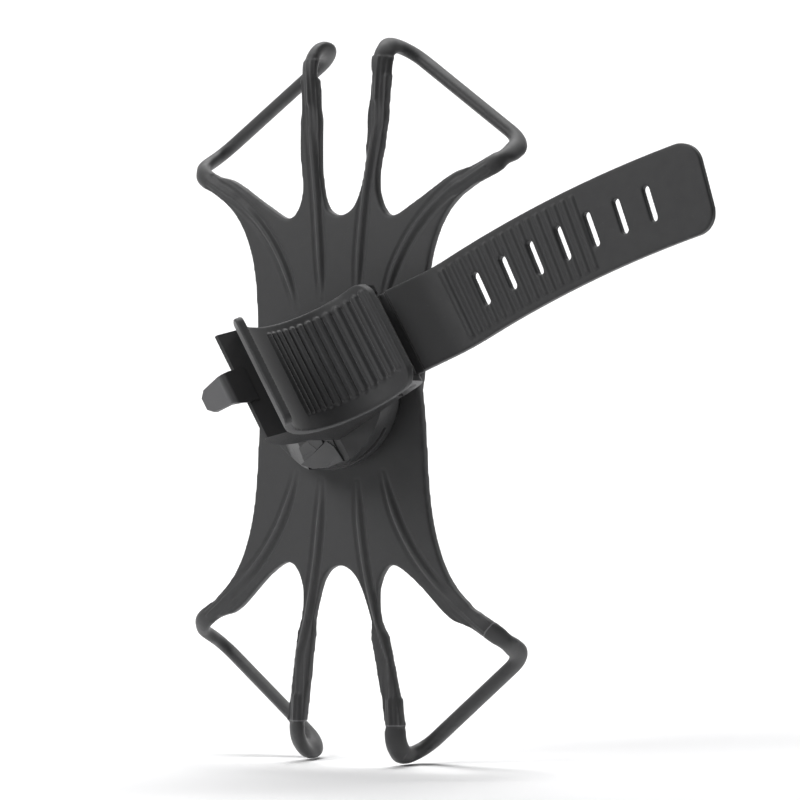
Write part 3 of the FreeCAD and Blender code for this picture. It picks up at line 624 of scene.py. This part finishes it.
def arms():
    """All eight arms, in holder millimetres.

    Each has its rib's three curve points, its tip's line from the web out to the phone's edge, how far
    short of that edge the ribs end, half the cord's width past there, and how far the ribbed part
    stands out. SIDE_ARMS holds up or down, the height at the phone's edge and the height of the
    elbow; UPPER_END and LOWER_END hold up or down, how far sideways, how high, and the last three."""
    for side in (1, -1):
        for end, high, elbow in SIDE_ARMS:
            start, bend, out = SIDE_RIB
            rib = [(side * start[0], end * start[1]), (side * bend[0], end * bend[1]),
                   (side * out, end * (elbow + 2.0))]
            tip = [(side * SIDE_ROOT, end * elbow), (side * PHONE_EDGE + PHONE_SHIFT, end * high)]
            yield Arm(rib, tip, RIGHT_SEAM if side > 0 else LEFT_SEAM, SIDE_CORD, 0.0)
        for end, wide, high, seam, cord_half, step in (UPPER_END, LOWER_END):
            start, bend, out = END_RIB
            across = side * wide + 2 * PHONE_SHIFT
            rib = [(side * start[0], end * start[1]), (side * bend[0], end * bend[1]),
                   (across - side * 0.5, end * out)]
            tip = [(across - side * 0.9, end * END_ROOT), (across, end * high)]
            yield Arm(rib, tip, seam, cord_half, step)


def arm_profile(along, across, marks, reach, half):
    """An arm's middle and half width at each mark, followed from its tip back towards the web."""
    bins = np.digitize(along, marks) - 1
    mids, halves = np.zeros(len(marks)), np.full(len(marks), half)
    middle = 0.0
    for index in range(len(marks) - 2, -1, -1):
        held = across[(bins == index) & (np.abs(across - middle) < reach)]
        if len(held) > 20:
            low, high = np.percentile(held, (0.5, 99.5))
            halves[index] = (high - low) / 2
            if halves[index] < 0.85 * reach:
                middle = (low + high) / 2
        mids[index] = middle
    return mids, halves


def even_width(points, arm, arm_half):
    """Gives an arm's tip straight edges and carries its width round the phone's edge."""
    reach, past, step, thinnest, deep = 3.4 * MM, 4 * MM, 0.5 * MM, 0.8 * MM, 5 * MM
    first, last = (np.array(end) * MM for end in arm.tip)
    total = np.linalg.norm(last - first)
    run = (last - first) / total
    offset = points[:, (0, 2)] - first
    along = offset @ run
    across = offset @ np.array((-run[1], run[0]))
    marks = np.arange(-8 * MM, total + past, step)
    back = points[:, 1] < deep
    cord_half = arm.cord_half * MM
    mids, halves = arm_profile(along[back], across[back], marks, reach, cord_half)
    across = across - np.interp(along, marks + step / 2, mids)
    half = np.maximum(np.interp(along, marks + step / 2, halves), thinnest)
    seam_at = total - arm.seam * MM
    cord = ramp(along, seam_at - 0.2 * MM, seam_at + 0.2 * MM)
    scale = (arm_half + (cord_half - arm_half) * cord) / half
    wider = np.maximum(scale, 1.0)
    scale = wider + (scale - wider) * ramp(along, 1.5 * MM, 5 * MM)
    share = (ramp(along, -7 * MM, -3 * MM) * (1 - ramp(along, total + past / 2, total + past))
             * (1 - ramp(np.abs(across), 2.5 * MM, reach)) * ramp(-points[:, 1], -deep, 0.0))
    move = across * (scale - 1) * share
    points[:, 0] -= run[1] * move
    points[:, 2] += run[0] * move


def lower_highlight_lines(wide):
    """The painted highlight lines across the lower arms where their ribs end: each a plane's direction, its
    distance and the line's width.
    """
    end, _, high, seam, _, _ = LOWER_END
    highlight_lines = [((0, 0, end), (high - seam) * MM, wide)]
    end, high, elbow = SIDE_ARMS[1]
    tip = Vector((PHONE_EDGE + PHONE_SHIFT, 0, end * high))
    run = (tip - Vector((SIDE_ROOT, 0, end * elbow))).normalized()
    highlight_lines.append((tuple(run), (tip.dot(run) - RIGHT_SEAM) * MM, wide))
    return highlight_lines


def arm_relief(plan, arm, settings):
    """How far an arm's ribs and ridges lift each point, and how far its ribbed part swells."""
    grown, faded_from, faded_to, reach = 9 * MM, 24 * MM, 13 * MM, 3.2 * MM
    line = np.concatenate([bezier(arm.rib, 24)[:-1], np.array(arm.tip)]) * MM
    across, along, total = nearest_on(line, plan)
    start = ramp(along, 0, grown)
    end = total - arm.seam * MM
    ribbed = (1 - ramp(along, end - 0.15 * MM, end + 0.15 * MM)) * (np.abs(across) < reach)
    narrow = ramp(along, total - faded_from, total - faded_to)
    half = settings.rib_width / 2 * (0.35 + 0.65 * start)
    crest = hump(across, half * 1.3) * settings.rib_height * start
    offset = half + settings.groove_width / 2
    groove = hump(np.abs(across) - offset, settings.groove_width * 0.62) * settings.groove_depth
    broad = (crest - groove * ramp(along, -2 * MM, 5 * MM)) * (1 - 0.65 * narrow)
    fine = np.cos(across / settings.ridge_pitch * 2 * math.pi) * settings.ridge_height * narrow
    return (broad + fine) * ribbed, arm.step * MM * ramp(along, end - 3 * MM, end) * ribbed


class MOUNT_OT_band(bpy.types.Operator):
    """Build the silicone band with its ribs, grooves, fine tip ridges and corner cords"""
    bl_idname = "phone_mount.band"
    bl_label = "Phone band"

    def execute(self, context):
        settings = context.scene.mount_band
        piece = soft_copy("phone_band", "band", settings.grid, 8)
        mesh = piece.data
        points = points_of(mesh)
        for arm in arms():
            even_width(points, arm, settings.tip_half)
        set_points(mesh, points)
        normals = normals_of(mesh)
        outer = ramp(-normals[:, 1], 0.25, 0.75) * ramp(-points[:, 1], 0.8 * MM, 1.5 * MM)
        behind = ramp(-points[:, 1], -2.0 * MM, 0.4 * MM)
        lift = np.zeros(len(points))
        swell = np.zeros(len(points))
        for arm in arms():
            more_lift, more_swell = arm_relief(points[:, (0, 2)], arm, settings)
            lift += more_lift
            swell += more_swell
        points[:, 1] -= lift * outer
        points += normals * (swell * behind)[:, None]
        set_points(mesh, points)
        # Painted highlight lines on the band where the lower arms' ribs end.
        highlight_lines = lower_highlight_lines(settings.highlight_wide)
        finish_with(piece, silicone("band silicone", settings.tint, 0.56, 0.3, highlight_lines=highlight_lines))
        place(piece, "holder", ["phone_band"])
        return {"FINISHED"}


# ---------------------------------------------------------------- cradle lining
class MOUNT_OT_pad(bpy.types.Operator):
    """Build the ribbed lining that the handlebar lies in"""
    bl_idname = "phone_mount.pad"
    bl_label = "Cradle lining"

    def execute(self, context):
        settings = context.scene.mount_pad
        piece = soft_copy("cradle_pad", "lining", settings.grid, 3)
        mesh = piece.data
        points = clamp_coords(points_of(mesh) - np.array(BAR_CENTRE))
        radius = np.hypot(points[:, 0], points[:, 2])
        turn = np.arctan2(points[:, 2], points[:, 0]) % (2 * math.pi)
        skin, faded, edge_turn = 0.2 * MM, 0.5 * MM, 0.06
        inner = 1 - ramp(radius, CRADLE_RADIUS + skin, CRADLE_RADIUS + faded)
        count = np.arange(settings.bars)
        centres = (settings.first_bar - settings.pitch * count
                   + settings.squeeze * np.maximum(count - 3, 0) ** 2)
        nearest = np.abs(turn[:, None] - centres).argmin(axis=1)
        room = np.abs(np.gradient(centres))[nearest] * CRADLE_RADIUS
        sideways = (turn - centres[nearest]) * CRADLE_RADIUS
        half = room * settings.bar_share / 2
        lengthways = np.maximum(np.abs(points[:, 1] - settings.shift) - (settings.bar_length / 2 - half), 0)
        gap = np.hypot(sideways, lengthways) / half
        raised = (1 - ramp(gap, 0.45, 1.15)) * settings.bar_rise
        field = (ramp(turn, centres[-1] - edge_turn, centres[-1])
                 * (1 - ramp(turn, centres[0], centres[0] + edge_turn)))
        between = ramp(gap, 0.8, 1.2) * (lengthways <= 0) * field * settings.groove_depth
        push = inner * (between - raised)
        scale = 1 + push / np.maximum(radius, WELD)
        points[:, 0] *= scale
        points[:, 2] *= scale
        set_points(mesh, from_clamp(points) + np.array(BAR_CENTRE))
        finish_with(piece, silicone("lining silicone", settings.tint, 0.55, 0.25))
        place(piece, "clamp", ["cradle_pad"])
        return {"FINISHED"}


# ---------------------------------------------------------------- strap
def strap_plan(points, settings):
    """How far along the strap and across it each point lies, following its edgeways turn."""
    local = clamp_coords(points - np.array(PIN_CENTRE))
    rate = settings.turn / settings.length
    radius = 1.0 / rate
    ahead = local[:, 0] - settings.straight
    up = local[:, 1] + radius
    turned = np.arctan2(ahead, up)
    along = np.where(ahead > 0, settings.straight + turned * radius, local[:, 0])
    across = np.where(ahead > 0, np.hypot(ahead, up) - radius, local[:, 1])
    return along, across


class MOUNT_OT_strap(bpy.types.Operator):
    """Build the perforated strap with its cross ribs"""
    bl_idname = "phone_mount.strap"
    bl_label = "Strap"

    def execute(self, context):
        settings = context.scene.mount_strap
        piece = soft_copy("strap", "strap_skin", settings.grid, 3)
        mesh = piece.data
        points = points_of(mesh)
        normals = normals_of(mesh)
        along, across = strap_plan(points, settings)
        outer = ramp(-normals[:, 1], 0.5, 0.85)
        pitch = (settings.last_rib - settings.first_rib) / (settings.ribs - 1)
        share = (along - settings.first_rib) / pitch
        beat = np.abs((share + 0.5) % 1.0 - 0.5)
        crest_share, foot_share = 0.16, 0.36
        bar = 1 - ramp(beat, crest_share, foot_share)
        inside = ramp(share, -0.6, -0.4) * (1 - ramp(share, settings.ribs - 0.6, settings.ribs - 0.4))
        half = settings.rib_length / 2
        ends = 1 - ramp(np.abs(across), half - 0.5 * MM, half)
        points[:, 1] -= bar * inside * ends * outer * settings.rib_height
        set_points(mesh, points)
        finish_with(piece, silicone("strap silicone", settings.tint, 0.58, 0.2))
        place(piece, "strap", ["strap"])
        return {"FINISHED"}


# ---------------------------------------------------------------- plastic and metal
class MOUNT_OT_saddle(bpy.types.Operator):
    """Ease the edges of the saddle with its hook"""
    bl_idname = "phone_mount.saddle"
    bl_label = "Saddle"

    def execute(self, context):
        settings = context.scene.mount_plastic
        piece = crisp_copy("clamp_body", "saddle", settings.ease)
        # Painted highlight on the hook's nose, lighter from this depth outwards.
        painted_light_depths = (settings.painted_nose_from, settings.painted_nose_from + 0.6 * MM)
        finish_with(piece, moulded("saddle plastic", settings.saddle_tint, 0.37, painted_light_depths))
        place(piece, "clamp", ["clamp_body"])
        return {"FINISHED"}


class MOUNT_OT_turntable(bpy.types.Operator):
    """Ease the edges of both turntable halves and the hub spigot"""
    bl_idname = "phone_mount.turntable"
    bl_label = "Turntable"

    def execute(self, context):
        settings = context.scene.mount_plastic
        disc = moulded("turntable plastic", settings.disc_tint, 0.37)
        hub = moulded("hub plastic", settings.hub_tint, 0.5)
        for node, name, body, slot, material in (
            ("turntable_upper", "disc_front", "clamp", "turn_plastic", disc),
            ("turntable_lower", "disc_back", "clamp", "turn_plastic", disc),
            ("hub_spigot", "spigot", "holder", "hub_plastic", hub),
        ):
            piece = crisp_copy(node, name, settings.ease * 0.8)
            finish_with(piece, material)
            place(piece, body, [node])
        return {"FINISHED"}


# The thumb tab's facets: each has its corners (along, up the bar, level of the top), the level of its
# underside and its finish, 0 for plain and 1 for hatched, in the clamp's millimetres
TAB_FACETS = (
    (((-9.1, 8.0, 11.84), (0.4, 8.0, 11.84), (0.4, 15.9, 11.84), (-1.0, 16.1, 11.84),
      (-9.1, 12.8, 11.84)), 11.3, 0),
    (((-9.3, 8.2, 11.9), (-6.6, 8.2, 12.36), (-5.3, 10.95, 12.45), (-9.6, 11.6, 11.95)), 11.6, 0),
    (((-6.6, 8.2, 12.36), (-3.3, 8.2, 12.5), (-3.4, 10.6, 12.55), (-5.3, 10.9, 12.4)), 11.9, 1),
    (((-10.4, 11.6, 12.34), (-2.3, 10.7, 12.85), (-1.3, 12.5, 12.85), (-1.1, 14.2, 12.7),
      (-5.3, 15.2, 12.4), (-8.2, 13.8, 12.34)), 11.9, 0),
    (((-1.1, 14.1, 12.7), (-1.1, 16.05, 12.34), (-5.6, 15.2, 12.36)), 11.4, 1),
)


def add_facet(bm, corners, low, ease, finish):
    """One facet of the thumb tab, as a thin plate with its top edges eased."""
    local = np.array([(along, -up, level) for along, up, level in corners]) * MM
    top = bm.faces.new([bm.verts.new(point) for point in from_clamp(local)])
    rim = list(top.edges)
    under = bmesh.ops.extrude_face_region(bm, geom=[top], use_keep_orig=True)["geom"]
    for vert in under:
        if isinstance(vert, bmesh.types.BMVert):
            vert.co += OUT * (low * MM - vert.co.dot(OUT))
    faces = list({face for edge in rim for face in edge.link_faces}) + [
        face for face in under if isinstance(face, bmesh.types.BMFace)]
    for face in faces:
        face.material_index = finish
    bmesh.ops.recalc_face_normals(bm, faces=faces)
    bmesh.ops.bevel(bm, geom=rim, affect="EDGES", offset=ease, segments=3, profile=0.5, material=-1)


class MOUNT_OT_tab(bpy.types.Operator):
    """Build the release slider with its faceted thumb tab"""
    bl_idname = "phone_mount.tab"
    bl_label = "Release tab"

    def execute(self, context):
        settings = context.scene.mount_plastic
        piece = crisp_copy("release_slider", "thumb_slider", settings.ease * 0.5)
        bm = bmesh.new()
        bm.from_mesh(piece.data)
        for face in bm.faces:
            face.material_index = 0
        for corners, low, finish in TAB_FACETS:
            add_facet(bm, corners, low, settings.ease * 0.3, finish)
        bm.to_mesh(piece.data)
        bm.free()
        piece.data.materials.clear()
        piece.data.materials.append(moulded("tab plastic", settings.tab_tint, 0.42))
        piece.data.materials.append(hatched("tab grip", settings.tab_tint, 0.5))
        place(piece, "release", ["release_slider"])
        return {"FINISHED"}


class MOUNT_OT_metal(bpy.types.Operator):
    """Give the screws, pin, springs, washers and plates their finishes"""
    bl_idname = "phone_mount.metal"
    bl_label = "Metal and hidden pieces"

    def execute(self, context):
        settings = context.scene.mount_plastic
        plated = metal("zinc plated steel", settings.plated_tint, 0.36)
        black = metal("blackened steel", settings.black_tint, 0.45)
        spring = metal("spring steel", settings.spring_tint, 0.3)
        nylon = moulded("nylon", settings.nylon_tint, 0.5)
        foam = silicone("bed foam", settings.foam_tint, 0.8, 0.4)
        plate = moulded("plate plastic", settings.hub_tint, 0.52)
        for material, names in (
            (plated, ("hub_screws", "turntable_screws", "body_screws")),
            (black, ("strap_pin",)),
            (spring, ("wave_washer", "release_spring")),
            (nylon, ("thrust_washer",)),
            (foam, ("bed_pad",)),
            (plate, ("hub_plate",)),
        ):
            for name in names:
                finish_with(frame["nodes"][name], material)
        return {"FINISHED"}


# ---------------------------------------------------------------- panel and registration
STEPS = (MOUNT_OT_stage, MOUNT_OT_band, MOUNT_OT_pad, MOUNT_OT_strap, MOUNT_OT_saddle, MOUNT_OT_turntable,
         MOUNT_OT_tab, MOUNT_OT_metal)
GROUPS = {
    "mount_band": BandSettings,
    "mount_pad": PadSettings,
    "mount_strap": StrapSettings,
    "mount_plastic": PlasticSettings,
    "mount_stage": StageSettings,
}


class MOUNT_PT_panel(bpy.types.Panel):
    """Settings and build buttons"""
    bl_idname = "MOUNT_PT_panel"
    bl_label = "Phone Mount"
    bl_space_type = "VIEW_3D"
    bl_region_type = "UI"
    bl_category = "Phone Mount"

    def draw(self, context):
        for step in STEPS:
            self.layout.operator(step.bl_idname)
        for name, settings in GROUPS.items():
            box = self.layout.box()
            box.label(text=settings.__doc__)
            for key in settings.__annotations__:
                box.prop(getattr(context.scene, name), key)


def register():
    """Registers the classes and puts the settings on the scene."""
    for item in (*GROUPS.values(), *STEPS, MOUNT_PT_panel):
        bpy.utils.register_class(item)
    for name, settings in GROUPS.items():
        setattr(bpy.types.Scene, name, PointerProperty(type=settings))


def unregister():
    """Takes the settings off the scene and the classes out."""
    for name in GROUPS:
        delattr(bpy.types.Scene, name)
    for item in (MOUNT_PT_panel, *reversed(STEPS), *reversed(GROUPS.values())):
        bpy.utils.unregister_class(item)


def main():
    """Registers the classes and builds every piece in order."""
    register()
    for step in STEPS:
        group, action = step.bl_idname.split(".")
        getattr(getattr(bpy.ops, group), action)()


if __name__ == "__main__":
    main()
